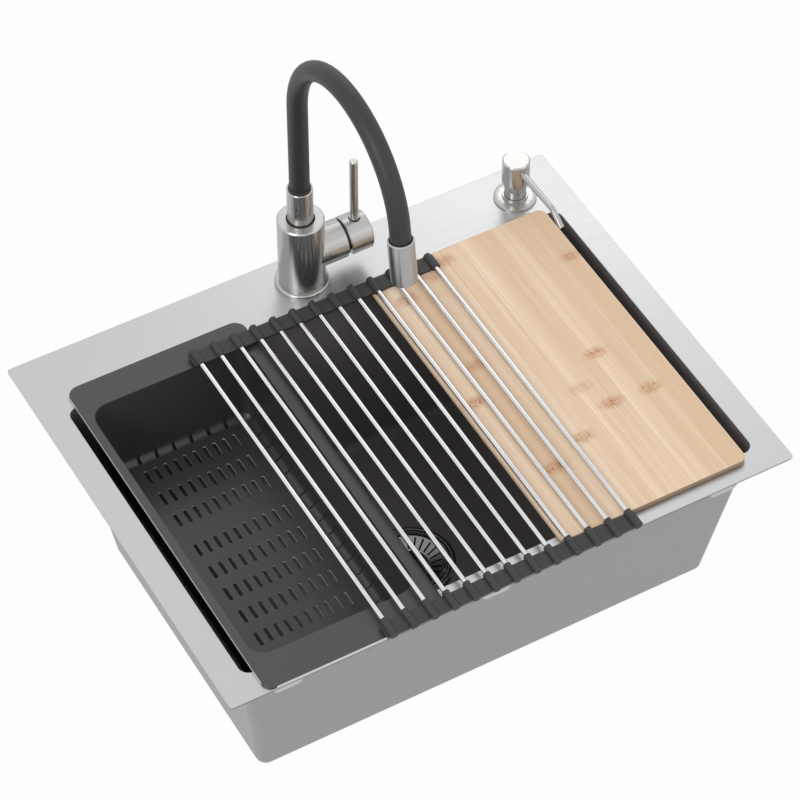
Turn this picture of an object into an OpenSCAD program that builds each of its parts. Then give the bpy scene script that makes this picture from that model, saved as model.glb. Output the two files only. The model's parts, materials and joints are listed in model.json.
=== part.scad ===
// Workstation kitchen sink with its drain, faucet, soap dispenser, colander, board and roll-up rack.
// Lengths are in millimetres. Z is up, the front is -Y and z = 0 is the worktop under the seal.

/* [Rim and deck] */
// Width of the rim, left to right
rim_w = 711; // [680:1:760]
// Depth of the rim, front to back
rim_d = 550; // [530:1:600]
// Corner radius of the rim
rim_r = 4.5; // [2:0.5:12]
// Sheet thickness of the rim and deck
deck_t = 2; // [1.5:0.1:3]
// Width of each side rim
side_rim = 32.5; // [28:0.5:40]
// Width of the front rim
front_rim = 32.4; // [28:0.2:40]
// Depth of the back deck that carries the taps
back_deck = 90; // [86:1:120]
// Thickness of the seal under the rim
seal_t = 1.5; // [1:0.1:3]
// Width of the seal
seal_w = 5.5; // [4:0.5:8]
// Setback of the seal from the rim edge
seal_inset = 0.5; // [0.2:0.1:2]

/* [Bowl] */
// Depth of the bowl, from the rim's top to its floor
bowl_depth = 229; // [190:1:260]
// How far each wall leans in towards the floor
bowl_draft = 31; // [20:1:40]
// Sheet thickness of the bowl
bowl_wall = 1.5; // [1:0.1:2]
// Radius of the bowl's inside corners
bowl_r = 12; // [8:1:20]
// Radius of the dish pressed round the drain
dish_r = 71; // [66:1:80]
// Depth of the dish
dish_deep = 2.5; // [1.5:0.1:4]
// Width of the dish's sloping edge
dish_slope = 5; // [3:0.5:8]

/* [Clip brackets] */
// Width of one clip bracket
tab_w = 36; // [28:1:44]
// Drop of a clip bracket below the deck
tab_drop = 18; // [14:0.5:26]
// Sheet thickness of a clip bracket
tab_t = 1.5; // [1:0.1:2]
// Length of the leg that is welded under the deck
tab_leg = 14; // [10:0.5:16]
// Corner radius of a clip bracket
tab_r = 7; // [3:0.5:8]
// Length of the clip slot
tab_slot_w = 18; // [12:0.5:22]
// Height of the clip slot
tab_slot_h = 4; // [3:0.5:5]
// Depth of the clip slot below the deck
tab_slot_z = 7; // [5:0.5:8]

/* [Drain] */
// Radius of the strainer's flange
flange_r = 53; // [50:0.5:57]
// Thickness of the strainer's flange
flange_t = 1.8; // [1.2:0.1:2.5]
// Radius of the strainer body over its thread
thread_r = 43.5; // [43:0.1:45]
// Inside radius of the strainer body
cup_r = 41.5; // [41:0.1:42]
// Depth of the strainer body's straight wall
cup_deep = 30; // [26:0.5:36]
// Depth of the strainer body's sloping wall
cone_deep = 14; // [10:0.5:18]
// Radius of the flat seat at the bottom of the strainer body
seat_r = 25; // [24:0.5:28]
// Radius of the outlet's bore
outlet_r = 17; // [15:0.5:18]
// Radius of the outlet's threaded spigot
spigot_r = 22; // [21:0.1:23]
// Length of the outlet's threaded spigot
spigot_l = 16; // [14:0.5:20]
// Outside radius of the tailpiece
tail_r = 19.05; // [18:0.05:20]
// Wall of the tailpiece
tail_wall = 1.4; // [1:0.1:1.8]
// Length of the tailpiece
tail_l = 36; // [30:1:60]
// Outside radius of the basket's rim
basket_r = 43; // [42.6:0.1:44]
// Width of the basket's flat rim
basket_rim = 4; // [3:0.2:5]
// Radius of the cup in the middle of the basket
basket_cup_r = 22; // [20:0.5:24]
// Depth of the basket's cup below its shoulder
basket_cup_deep = 16; // [12:0.5:18]
// Fall of the basket's slotted shoulder
basket_fall = 7; // [5:0.5:9]
// Sheet thickness of the basket
basket_t = 1.2; // [0.8:0.1:1.6]
// Number of radial slots in the basket's shoulder
basket_slots = 24; // [16:1:30]
// Width of a basket slot
basket_slot_w = 2.2; // [1.5:0.1:2.6]
// Radius of the stopper's post
post_r = 3; // [2:0.1:4]
// Radius of the knob on the post
knob_r = 8; // [6:0.5:10]
// Height of the knob
knob_h = 5; // [4:0.5:7]
// Travel of the stopper under the basket
stopper_lift = 8; // [5:0.5:9]
// Thickness of the stopper's seal
stopper_t = 4; // [3:0.5:5]

/* [Faucet] */
// Place of the faucet, right of the middle
faucet_x = 5; // [-20:1:20]
// Distance of the faucet's axis from the back edge
faucet_back = 43; // [40:1:50]
// Radius of the faucet's base ring
base_r = 32.2; // [30:0.2:38]
// Height of the faucet's base ring
base_h = 6; // [4:0.5:9]
// Radius of the faucet's body
body_r = 27.7; // [26.5:0.1:29]
// Height of the faucet's body above the base ring
body_h = 99; // [92:1:120]
// Radius of the threaded shank
shank_r = 16; // [14:0.5:16.5]
// Length of the shank below the deck
shank_l = 58; // [45:1:70]
// Radius of the spout's collar
collar_r = 15.25; // [14.9:0.05:17]
// Height of the spout's collar above the body
collar_h = 49; // [40:1:60]
// Radius of the spout's hose
hose_r = 12; // [11:0.1:12.2]
// Radius of the hose's bore
hose_bore = 8; // [6:0.5:9]
// Height of the arch's centre above the deck
arch_z = 282; // [250:1:310]
// Radius of the arch's centre line
arch_r = 116; // [100:1:130]
// Angle that the arch sweeps
arch_sweep = 171.6; // [160:0.2:180]
// Straight length of hose between the arch and the nozzle
hose_end = 17.6; // [10:0.1:40]
// Radius of the spray nozzle
nozzle_r = 15; // [14.5:0.1:17]
// Length of the spray nozzle
nozzle_l = 56.5; // [50:0.5:70]

/* [Valve and lever] */
// Height of the valve's axis above the deck
valve_z = 46.7; // [40:0.1:60]
// Radius of the valve's housing and cap
valve_r = 24; // [23:0.1:26]
// Reach of the housing from the faucet's axis
valve_reach = 51.75; // [48:0.25:60]
// Width of the dark groove between the housing and the cap
groove_w = 2.5; // [2:0.1:4]
// Length of the lever's cap
cap_l = 29.75; // [26:0.25:36]
// Radius of the valve's cartridge
cartridge_r = 21; // [19:0.1:21.5]
// Radius of the hinge pin in the cap
hinge_r = 2; // [1.5:0.1:3]
// Place of the hinge pin past the cap's inner face
hinge_in = 7.75; // [6:0.25:9]
// Angle that the lever tilts outwards
lever_tilt = 15; // [8:1:18]
// Radius of the lever's rod
lever_r = 5; // [4:0.1:6]
// Place of the rod past the cap's inner face
lever_in = 15.75; // [14:0.25:18]
// Height of the lever's top above the deck
lever_top = 163; // [130:1:190]

/* [Soap dispenser] */
// Distance of the dispenser's axis from the right edge
soap_side = 65.1; // [55:0.1:90]
// Distance of the dispenser's axis from the back edge
soap_back = 47.5; // [45:0.5:50]
// Radius of the dispenser's flange
soap_flange_r = 25.8; // [24:0.1:28]
// Height of the dispenser's flange
soap_flange_h = 4; // [3:0.5:6]
// Radius of the collar on the flange
soap_collar_r = 15.5; // [15:0.1:18]
// Height of the collar on the flange
soap_collar_h = 3; // [2:0.5:4]
// Radius of the pump head
head_r = 16.5; // [14.5:0.1:18]
// Height of the pump head's top above the deck
head_z = 63; // [56:0.5:75]
// Radius of the head's sliding barrel
barrel_r = 13; // [12:0.1:13.6]
// Travel of the pump head
pump_travel = 10; // [6:0.5:10]
// Reach of the pump's spout from the dispenser's axis
soap_reach = 105; // [80:1:120]
// Rise angle of the pump's spout
soap_rise = 1.8; // [0:0.2:8]
// Length of the spout's end, which bends down
soap_end = 25; // [15:0.5:32]
// Angle by which the spout's end bends down
soap_bend = 32; // [15:1:45]
// Radius of the pump's spout at its root
soap_root_r = 4.1; // [3.5:0.1:5]
// Radius of the pump's spout at its tip
soap_tip_r = 3.6; // [3:0.1:4]
// Radius of the soap bottle
bottle_r = 30; // [24:0.5:34]
// Height of the soap bottle below its neck
bottle_h = 120; // [80:1:150]

/* [Colander] */
// Width of the colander over its flange
colander_w = 224.5; // [200:0.5:240]
// Space between the colander's flange and the bowl's left edge
colander_gap = 10.5; // [5:0.5:12]
// Overlap of the colander's flange on the back deck
colander_rest = 26; // [15:1:27]
// Width of the colander's left flange
colander_left = 10; // [9:0.5:14]
// Width of the colander's right flange
colander_right = 14; // [10:0.5:20]
// Space between the colander's walls and the bowl, front and back
colander_end = 11.8; // [11.4:0.1:16]
// Depth of the colander, from the rim's top to its floor
colander_deep = 106; // [80:1:130]
// Wall of the colander
colander_wall = 2; // [1.5:0.1:2.5]
// Height of the colander's folded flange
colander_hem = 3; // [2.5:0.1:4]
// Sheet thickness of the colander's flange
colander_t = 1.5; // [1:0.1:2]
// Length of a drain slot
slot_l = 21; // [15:0.5:24]
// Width of a drain slot
slot_w = 4.5; // [3:0.1:6]
// Columns of drain slots
slot_columns = 10; // [6:1:10]
// Rows of drain slots before the plain band
slot_rows_front = 6; // [4:1:6]
// Rows of drain slots behind the plain band
slot_rows_back = 3; // [2:1:3]

/* [Cutting board] */
// Width of the board
board_w = 242; // [200:1:260]
// Thickness of the board
board_t = 6.5; // [6:0.1:9]
// Corner radius of the board
board_r = 11; // [5:0.5:20]
// Space between the board and the bowl's right edge
board_gap = 17; // [5:0.5:30]
// Overlap of the board on the front rim
board_front = 14.4; // [8:0.2:20]
// Overlap of the board on the back deck
board_back = 6; // [4:0.5:8]

/* [Roll-up rack] */
// Number of rods in the rack; the list of nodes holds thirteen
rack_rods = 13; // [13:1:13]
// Distance between two rods
rack_pitch = 25.6; // [20:0.1:27]
// Radius of a rod
rod_r = 3; // [2.5:0.1:3.4]
// Space between the bowl's left edge and the rack
rack_gap = 154.5; // [120:0.5:180]
// Overhang of the rack past the front edge
rack_front = 5.5; // [0:0.5:8]
// Overlap of the rack on the back deck
rack_back = 1.5; // [0:0.5:8]
// Width of a silicone end strip
strip_w = 20.5; // [18:0.5:30]
// Thickness of the web between two rods
web_t = 3; // [2:0.1:3.5]
// Radius of the sleeve round a rod
sleeve_r = 4.6; // [4.5:0.1:5.5]
// Length of the sleeve past the web's edge
sleeve_over = 2; // [1:0.5:3]
// Reach of the end links past their rods
link_end = 7; // [6:0.5:9]

/* [Hidden] */
$fn = 72;
// Facets of the round corners that are hulled
ball_fn = 32;
// Overrun of every cut
over = 1;
// Clearance of a running or threaded fit, on the radius
fit = 0.05;
// Gap between a loose piece and what it rests on
rest = 0.3;

// Heights and places that the pieces share
deck_z = seal_t + deck_t;
floor_z = deck_z - bowl_depth;
mouth_w = rim_w - 2 * side_rim;
mouth_d = rim_d - front_rim - back_deck;
mouth_y = (front_rim - back_deck) / 2;
mouth_left = -mouth_w / 2;
mouth_front = mouth_y - mouth_d / 2;
mouth_back = mouth_y + mouth_d / 2;

// Seal and clip brackets: the brackets hang just inside the seal
tab_gap = 1.5;
tab_y = rim_d / 2 - seal_inset - seal_w - tab_gap;
tab_front_shares = [-0.397, -0.035, 0.377];
tab_back_shares = [-0.397, 0.377];
bowl_lip = 1;

// Drain
drain_shift = 6.2;
drain_x = 0;
drain_y = mouth_y - drain_shift;
drain_z = floor_z - dish_deep;
drain_play = 0.5;
hole_r = thread_r + drain_play;
funnel = 1.5;
seat_t = 2;
seat_z = drain_z - cup_deep - cone_deep;
spigot_z = seat_z - seat_t - spigot_l;
washer_t = 3;
washer_w = 13;
locknut_t = 10;
locknut_r = 56;
lug_count = 8;
lug_w = 8;
lug_l = 5;
slip_r = 29;
slip_cover = 12;
slip_lip = 3;
slip_sides = 8;
tail_flange_t = 2;
tail_neck = 0.4;
tail_neck_l = 4;
basket_rim_t = 2;
basket_floor_holes = 6;
basket_hole_r = 1.6;
post_hub_r = 6;
stopper_r = 21;
stopper_hub_r = 9;
stopper_hub_h = 2;
shoulder_z = drain_z + flange_t + rest;
basket_top = shoulder_z + basket_rim_t;
basket_play = 0.7;
cup_top = shoulder_z - basket_fall;
cup_floor = cup_top - basket_cup_deep;
stopper_z = seat_z + rest;
knob_z = shoulder_z - knob_h;

// Faucet
faucet_y = rim_d / 2 - faucet_back;
faucet_play = 1.5;
faucet_hole_r = shank_r + faucet_play;
base_round = 3;
body_z = deck_z + base_h;
body_top = body_z + body_h;
body_bevel = 1.6;
shank_in = 15;
inlet_r = 5;
inlet_l = 14;
inlet_x = 7.5;
nut_r = 24;
nut_t = 8;
nut_sides = 6;
plate_r = 26;
plate_t = 3;
recess_play = 0.75;
recess_deep = 2;
neck_r = 12;
neck_l = 20;
collar_bevel = 0.8;
hose_in = 24;
ferrule_r = 13.5;
ferrule_in = 8;
ferrule_up = 4;
ferrule_tip = 0.6;
hose_z = body_top + collar_h - hose_in;
arch_centre_z = deck_z + arch_z;
arch_y = faucet_y - arch_r;
nozzle_in = 12;
nozzle_bevel = 1.2;
nozzle_wall = 2.5;
aerator_t = 5;
aerator_in = 1;
aerator_hole_r = 1.2;
aerator_holes = 6;
aerator_ring_r = 7;

// Valve and lever, measured from the faucet's axis along the valve
cap_x = valve_reach + groove_w;
cartridge_in = 14;
cartridge_x = valve_reach - cartridge_in;
cartridge_end = cap_x - rest;
stem_r = 6;
stem_l = 12;
hinge_x = cap_x + hinge_in;
cavity_r = 14.5;
cavity_l = 18;
lever_x = cap_x + lever_in;
lever_sink = 5;
lever_foot_r = 6.2;
lever_foot_h = 2;
lever_round = 1.2;
edge_bevel = 1.2;
valve_axis_z = deck_z + valve_z;

// Soap dispenser
soap_x = rim_w / 2 - soap_side;
soap_y = rim_d / 2 - soap_back;
soap_thread_r = 14.8;
soap_play = 1.2;
soap_hole_r = soap_thread_r + soap_play;
barrel_play = 0.3;
soap_edge_h = 2.5;
soap_thread_l = 47;
soap_step_z = deck_z - 20;
soap_step_r = 11.2;
soap_nut_r = 22;
soap_nut_t = 8;
barrel_low = deck_z - 3;
barrel_top = deck_z + 18;
head_low = deck_z + 30;
head_round = 1.6;
soap_spout_drop = 11.3;
soap_spout_z = deck_z + head_z - soap_spout_drop;
soap_root_in = 10;
soap_root_l = 12;
soap_bend_r = 12;
soap_tip_bore = 2.6;
soap_tip_open = 3;
soap_lap = 0.5;
plunger_r = 4;
plunger_l = 42;
pump_flange_t = 2;
pump_l = 40;
dip_r = 3;
dip_bore = 2;
dip_floor = 6;
bottle_wall = 2;
bottle_neck_l = 15;
bottle_neck_wall = 3;
bottle_shoulder = 14;
bottle_on = 12;
bottle_top = deck_z - soap_thread_l + bottle_on;
bottle_floor = bottle_top - bottle_neck_l - bottle_shoulder - bottle_h;

// Colander
colander_corner = 15;
colander_r = 22;
colander_ball = 11;
colander_x0 = mouth_left + colander_gap;
colander_y0 = -rim_d / 2;
colander_y1 = mouth_back + colander_rest;
colander_lift = deck_z + rest;
colander_in_x0 = colander_x0 + colander_left;
colander_in_x1 = colander_x0 + colander_w - colander_right;
colander_in_y0 = mouth_front + colander_end;
colander_in_y1 = mouth_back - colander_end - colander_wall;
colander_floor = deck_z - colander_deep;
draft_left = 16;
draft_right = 1;
draft_front = 8;
draft_back = 6;
hem_w = 2;
colander_band = 1;
slot_pitch_x = 12.63;
slot_pitch_y = 36.3;
slot_jump = 50;
slot_from_front = 61.5;
slot_shift = 8.6;
side_slot_w = 2.6;
side_slot_pitch = 22.35;
side_slot_from = 76;
side_slot_jump = 37;
side_slots_front = 9;
side_slots_back = 5;
back_slot_w = 4.5;
back_slot_pitch = 22.5;
back_slots = 6;
bend_in = 9;
bend_up = 9;

// Board and rack
board_x1 = mouth_w / 2 - board_gap;
board_y0 = mouth_front - board_front;
board_y1 = mouth_back + board_back;
board_z = deck_z + rest;
rack_z = board_z + board_t + rest;
rack_x0 = mouth_left + rack_gap + link_end;
rack_y0 = -rim_d / 2 - rack_front;
rack_y1 = mouth_back + rack_back;
rod_z = rack_z + rod_r + sleeve_under();
rod_cap = 2;
rod_y0 = rack_y0 - sleeve_over + rod_cap;
rod_y1 = rack_y1 - rod_cap;
link_gap = 0.3;

function rack_name(kind, k) = str("rack_", kind, k < 10 ? "_0" : "_", k);
// Silicone that lies under a rod: what the sleeve leaves when its foot is cut flat
function sleeve_under() = (sleeve_r - rod_r) * 0.65;
// Height from a hulled ball's lowest ring to its centre
function ball_rise(r) = r * cos(90 / (ball_fn / 2));

// Rounded rectangle between two corners
module plate_2d(x0, y0, x1, y1, r) {
  translate([x0 + r, y0]) square([x1 - x0 - 2 * r, y1 - y0]);
  translate([x0, y0 + r]) square([x1 - x0, y1 - y0 - 2 * r]);
  for (x = [x0 + r, x1 - r], y = [y0 + r, y1 - r])
    translate([x, y]) circle(r = r);
}

module centred_plate(w, d, y, r) {
  plate_2d(-w / 2, y - d / 2, w / 2, y + d / 2, r);
}

module tube(r, bore, h) {
  difference() {
    cylinder(r = r, h = h);
    translate([0, 0, -over]) cylinder(r = bore, h = h + 2 * over);
  }
}

// A revolved outline, its points given as [radius, height]
module turned(points) {
  rotate_extrude() polygon(points);
}

module at_drain(z) {
  translate([drain_x, drain_y, z]) children();
}

module at_faucet(z) {
  translate([faucet_x, faucet_y, z]) children();
}

// The valve's axis, turned so that z runs outwards along it
module at_valve(x) {
  translate([faucet_x + x, faucet_y, valve_axis_z]) rotate([0, 90, 0]) children();
}

module at_soap(z) {
  translate([soap_x, soap_y, z]) children();
}

// The arch's end, with z pointing back up the hose
module at_hose_end() {
  translate([faucet_x, arch_y + arch_r * cos(arch_sweep), arch_centre_z + arch_r * sin(arch_sweep)])
    rotate([arch_sweep - 180, 0, 0]) children();
}

module sink_deck() {
  color("silver") translate([0, 0, seal_t]) difference() {
    linear_extrude(deck_t) centred_plate(rim_w, rim_d, 0, rim_r);
    translate([0, 0, -over])
      linear_extrude(deck_t + 2 * over) centred_plate(mouth_w, mouth_d, mouth_y, bowl_r);
    at_faucet(-over) cylinder(r = faucet_hole_r, h = deck_t + 2 * over);
    at_soap(-over) cylinder(r = soap_hole_r, h = deck_t + 2 * over);
  }
}

// The bowl's drafted block, grown by a wall
module bowl_block(wall, top_z) {
  r = bowl_r + wall;
  w = mouth_w / 2 + wall - r;
  d = mouth_d / 2 + wall - r;
  hull() for (sx = [-1, 1], sy = [-1, 1]) {
    translate([sx * w, mouth_y + sy * d, top_z - bowl_lip])
      cylinder(r = r, h = bowl_lip, $fn = ball_fn);
    translate([sx * (w - bowl_draft), mouth_y + sy * (d - bowl_draft), floor_z - wall + ball_rise(r)])
      sphere(r = r, $fn = ball_fn);
  }
}

module sink_bowl() {
  color("gray") difference() {
    union() {
      bowl_block(bowl_wall, seal_t);
      at_drain(drain_z - bowl_wall)
        cylinder(r1 = dish_r - dish_slope + bowl_wall, r2 = dish_r + bowl_wall, h = dish_deep);
      at_drain(floor_z - bowl_wall) cylinder(r = dish_r + bowl_wall, h = bowl_wall / 2);
    }
    bowl_block(0, seal_t + bowl_lip);
    at_drain(drain_z) cylinder(r1 = dish_r - dish_slope, r2 = dish_r, h = dish_deep);
    at_drain(floor_z) cylinder(r = dish_r, h = over);
    at_drain(drain_z - bowl_wall - over) cylinder(r = hole_r, h = bowl_wall + 2 * over);
  }
}

module rim_gasket() {
  outer = seal_inset;
  inner = seal_inset + seal_w;
  color("dimgray") linear_extrude(seal_t) difference() {
    centred_plate(rim_w - 2 * outer, rim_d - 2 * outer, 0, rim_r);
    centred_plate(rim_w - 2 * inner, rim_d - 2 * inner, 0, rim_r);
  }
}

// One clip bracket: a leg under the deck and a slotted tab that hangs from it, facing -Y
module clip_bracket() {
  translate([-tab_w / 2, 0, seal_t - tab_t]) cube([tab_w, tab_leg, tab_t]);
  translate([0, tab_t, seal_t]) rotate([90, 0, 0]) linear_extrude(tab_t) difference() {
    union() {
      plate_2d(-tab_w / 2, -tab_drop, tab_w / 2, 0, tab_r);
      translate([-tab_w / 2, -tab_r]) square([tab_w, tab_r]);
    }
    plate_2d(-tab_slot_w / 2, -tab_slot_z - tab_slot_h / 2, tab_slot_w / 2,
      -tab_slot_z + tab_slot_h / 2, tab_slot_h / 3);
  }
}

module rim_brackets() {
  color("lightgray") {
    for (s = tab_front_shares) translate([s * rim_w, -tab_y, 0]) clip_bracket();
    for (s = tab_back_shares) translate([s * rim_w, tab_y, 0]) mirror([0, 1, 0]) clip_bracket();
  }
}

module strainer_body() {
  color("silver") at_drain(drain_z) turned([
    [thread_r, 0],
    [flange_r, 0],
    [flange_r, flange_t / 2],
    [flange_r - flange_t, flange_t],
    [cup_r + funnel, flange_t],
    [cup_r, flange_t - funnel],
    [cup_r, -cup_deep],
    [seat_r, -cup_deep - cone_deep],
    [outlet_r, -cup_deep - cone_deep],
    [outlet_r, spigot_z - drain_z],
    [spigot_r, spigot_z - drain_z],
    [spigot_r, seat_z - seat_t - drain_z],
    [seat_r + seat_t, seat_z - seat_t - drain_z],
    [thread_r, -cup_deep]
  ]);
}

module strainer_basket() {
  slot_mid = (basket_r - basket_rim + basket_cup_r) / 2;
  slot_len = basket_r - basket_rim - basket_cup_r - 3 * basket_t;
  color("silver") at_drain(0) difference() {
    turned([
      [basket_r, shoulder_z],
      [basket_r, basket_top - basket_rim_t / 3],
      [basket_r - basket_rim / 3, basket_top],
      [basket_r - basket_rim, basket_top],
      [basket_r - basket_rim, shoulder_z],
      [basket_cup_r, cup_top],
      [basket_cup_r, cup_floor],
      [post_r + fit, cup_floor],
      [post_r + fit, cup_floor - basket_t],
      [basket_cup_r + basket_t, cup_floor - basket_t],
      [basket_cup_r + basket_t, cup_top - basket_t],
      [cup_r - basket_play, shoulder_z - basket_t],
      [cup_r - basket_play, shoulder_z]
    ]);
    for (k = [0 : basket_slots - 1]) rotate((k + 0.5) * 360 / basket_slots)
      translate([slot_mid - slot_len / 2, -basket_slot_w / 2, cup_top - 2 * basket_t])
        cube([slot_len, basket_slot_w, basket_fall + 3 * basket_t]);
    for (k = [0 : basket_floor_holes - 1]) rotate(k * 360 / basket_floor_holes)
      translate([basket_cup_r / 2 + post_r, 0, cup_floor - basket_t - over])
        cylinder(r = basket_hole_r, h = basket_t + 2 * over);
  }
}

module basket_post() {
  color("silver") at_drain(0) turned([
    [0, knob_z + knob_h],
    [knob_r / 2, knob_z + knob_h],
    [knob_r, knob_z + knob_h / 2],
    [knob_r * 0.8, knob_z],
    [post_r, knob_z - knob_h / 2],
    [post_r, stopper_z + stopper_t + stopper_hub_h],
    [post_hub_r, stopper_z + stopper_t + stopper_hub_h],
    [post_hub_r, stopper_z + stopper_t],
    [0, stopper_z + stopper_t]
  ]);
}

module stopper_seal() {
  color("black") at_drain(stopper_z) turned([
    [0, 0],
    [stopper_r - stopper_t / 2, 0],
    [stopper_r, stopper_t / 2],
    [stopper_r - stopper_t / 4, stopper_t],
    [0, stopper_t]
  ]);
}

module drain_gasket() {
  color("black") at_drain(drain_z - bowl_wall - washer_t) tube(hole_r + washer_w, hole_r, washer_t);
}

module drain_locknut() {
  color("gray") at_drain(drain_z - bowl_wall - washer_t - locknut_t) difference() {
    union() {
      cylinder(r = locknut_r, h = locknut_t);
      for (k = [0 : lug_count - 1]) rotate((k + 0.5) * 360 / lug_count)
        translate([locknut_r - lug_l, -lug_w / 2, 0]) cube([2 * lug_l, lug_w, locknut_t]);
    }
    translate([0, 0, -over]) cylinder(r = thread_r + fit, h = locknut_t + 2 * over);
  }
}

module drain_slip_nut() {
  low = spigot_z - tail_flange_t - slip_lip;
  color("white") at_drain(low) difference() {
    cylinder(r = slip_r, h = slip_cover + tail_flange_t + slip_lip, $fn = slip_sides);
    translate([0, 0, slip_lip]) cylinder(r = spigot_r + fit, h = slip_cover + tail_flange_t + over);
    translate([0, 0, -over]) cylinder(r = tail_r + fit, h = slip_lip + 2 * over);
  }
}

// The tailpiece is a hair thinner from its flange to a little below the slip nut
module drain_tailpiece() {
  color("white") at_drain(0) difference() {
    union() {
      translate([0, 0, spigot_z - tail_flange_t]) cylinder(r = spigot_r - fit, h = tail_flange_t);
      translate([0, 0, spigot_z - tail_l]) cylinder(r = tail_r - tail_neck, h = tail_l - tail_flange_t);
      translate([0, 0, spigot_z - tail_l])
        cylinder(r = tail_r, h = tail_l - tail_flange_t - slip_lip - tail_neck_l);
    }
    translate([0, 0, spigot_z - tail_l - over]) cylinder(r = tail_r - tail_wall, h = tail_l + 2 * over);
  }
}

module faucet_base_ring() {
  color("silver") at_faucet(deck_z) difference() {
    union() {
      cylinder(r = base_r, h = base_h - base_round);
      cylinder(r = base_r - base_round, h = base_h);
      translate([0, 0, base_h - base_round]) rotate_extrude()
        translate([base_r - base_round, 0]) intersection() {
          circle(r = base_round);
          square(base_round);
        }
    }
    translate([0, 0, -over]) cylinder(r = shank_r + fit, h = base_h + 2 * over);
  }
}

module faucet_body() {
  color("silver") difference() {
    union() {
      at_faucet(body_z) cylinder(r = body_r, h = body_h - body_bevel);
      at_faucet(body_top - body_bevel)
        cylinder(r1 = body_r, r2 = body_r - body_bevel, h = body_bevel);
      at_valve(0) cylinder(r = valve_r, h = valve_reach - edge_bevel);
      at_valve(valve_reach - edge_bevel)
        cylinder(r1 = valve_r, r2 = valve_r - edge_bevel, h = edge_bevel);
    }
    at_faucet(body_top - recess_deep)
      cylinder(r = collar_r + recess_play, h = recess_deep + over);
    at_faucet(body_top - recess_deep - neck_l) cylinder(r = neck_r + fit, h = neck_l + over);
    at_faucet(body_z - over) cylinder(r = shank_r + fit, h = shank_in + over);
    at_valve(cartridge_x) cylinder(r = cartridge_r + fit, h = cartridge_in + over);
  }
}

module valve_cartridge() {
  color("black") difference() {
    union() {
      at_valve(cartridge_x + rest) cylinder(r = cartridge_r, h = cartridge_end - cartridge_x - rest);
      at_valve(cartridge_end) cylinder(r = stem_r, h = stem_l);
    }
    translate([faucet_x + hinge_x, faucet_y + stem_r + over, valve_axis_z])
      rotate([90, 0, 0]) cylinder(r = hinge_r + fit, h = 2 * (stem_r + over));
  }
}

module lever_cap() {
  reach = 2 * valve_r;
  color("silver") {
    difference() {
      union() {
        at_valve(cap_x) cylinder(r1 = valve_r - edge_bevel, r2 = valve_r, h = edge_bevel);
        at_valve(cap_x + edge_bevel) cylinder(r = valve_r, h = cap_l - 2 * edge_bevel);
        at_valve(cap_x + cap_l - edge_bevel)
          cylinder(r1 = valve_r, r2 = valve_r - edge_bevel, h = edge_bevel);
      }
      at_valve(cap_x - over) cylinder(r = cavity_r, h = cavity_l + over);
      // Relief under the cap, so that its lower edge stays clear of the housing when it tilts
      translate([faucet_x + hinge_x, faucet_y, valve_axis_z]) rotate([0, -lever_tilt, 0])
        translate([-hinge_in - reach, -reach, -2 * reach]) cube([reach, 2 * reach, 2 * reach]);
      translate([faucet_x + lever_x, faucet_y, valve_axis_z + valve_r - lever_sink])
        cylinder(r = lever_r + fit, h = lever_sink + over);
    }
    translate([faucet_x + hinge_x, faucet_y + cavity_r + over, valve_axis_z])
      rotate([90, 0, 0]) cylinder(r = hinge_r, h = 2 * (cavity_r + over));
  }
}

module lever_rod() {
  foot = valve_axis_z + valve_r;
  color("silver") translate([faucet_x + lever_x, faucet_y, 0]) {
    turned([
      [0, foot - lever_sink],
      [lever_r, foot - lever_sink],
      [lever_r, deck_z + lever_top - lever_round],
      [lever_r - lever_round, deck_z + lever_top],
      [0, deck_z + lever_top]
    ]);
    translate([0, 0, foot + fit]) cylinder(r = lever_foot_r, h = lever_foot_h);
  }
}

module spout_collar() {
  top = body_top + collar_h;
  color("silver") at_faucet(0) turned([
    [hose_bore, body_top - recess_deep - neck_l + rest],
    [neck_r, body_top - recess_deep - neck_l + rest],
    [neck_r, body_top - recess_deep + rest],
    [collar_r, body_top - recess_deep + rest],
    [collar_r, top - collar_bevel],
    [collar_r - collar_bevel, top],
    [ferrule_r + fit, top],
    [ferrule_r + fit, top - ferrule_in],
    [hose_r + fit, top - ferrule_in],
    [hose_r + fit, hose_z],
    [hose_bore, hose_z]
  ]);
}

module hose_ferrule() {
  top = body_top + collar_h;
  color("black") at_faucet(0) turned([
    [hose_r + fit, top - ferrule_in],
    [ferrule_r, top - ferrule_in],
    [ferrule_r, top + ferrule_tip],
    [hose_r + ferrule_tip, top + ferrule_up],
    [hose_r + fit, top + ferrule_up]
  ]);
}

// The hose's run as a solid: two legs that reach a little way into the arch, which is a hair thicker
module hose_run(r, ends) {
  at_faucet(hose_z - ends) cylinder(r = r - fit, h = arch_centre_z + over - hose_z + ends);
  translate([faucet_x, arch_y, arch_centre_z]) rotate([90, 0, 90])
    rotate_extrude(angle = arch_sweep) translate([arch_r, 0]) circle(r = r);
  at_hose_end() translate([0, 0, -hose_end - nozzle_in - ends])
    cylinder(r = r - fit, h = over + hose_end + nozzle_in + ends);
}

module spout_hose() {
  color("black") difference() {
    hose_run(hose_r, 0);
    hose_run(hose_bore, over);
  }
}

// The nozzle hangs from the hose's end; its outline is given from the nozzle's foot up
module spray_nozzle() {
  inner = nozzle_r - nozzle_wall;
  color("silver") at_hose_end() translate([0, 0, -hose_end - nozzle_l]) turned([
    [inner, 0],
    [nozzle_r - nozzle_bevel, 0],
    [nozzle_r, nozzle_bevel],
    [nozzle_r, nozzle_l - nozzle_bevel],
    [nozzle_r - nozzle_bevel, nozzle_l],
    [hose_r + fit, nozzle_l],
    [hose_r + fit, nozzle_l - nozzle_in],
    [hose_bore, nozzle_l - nozzle_in],
    [hose_bore, aerator_in + aerator_t],
    [inner, aerator_in + aerator_t]
  ]);
}

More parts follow.
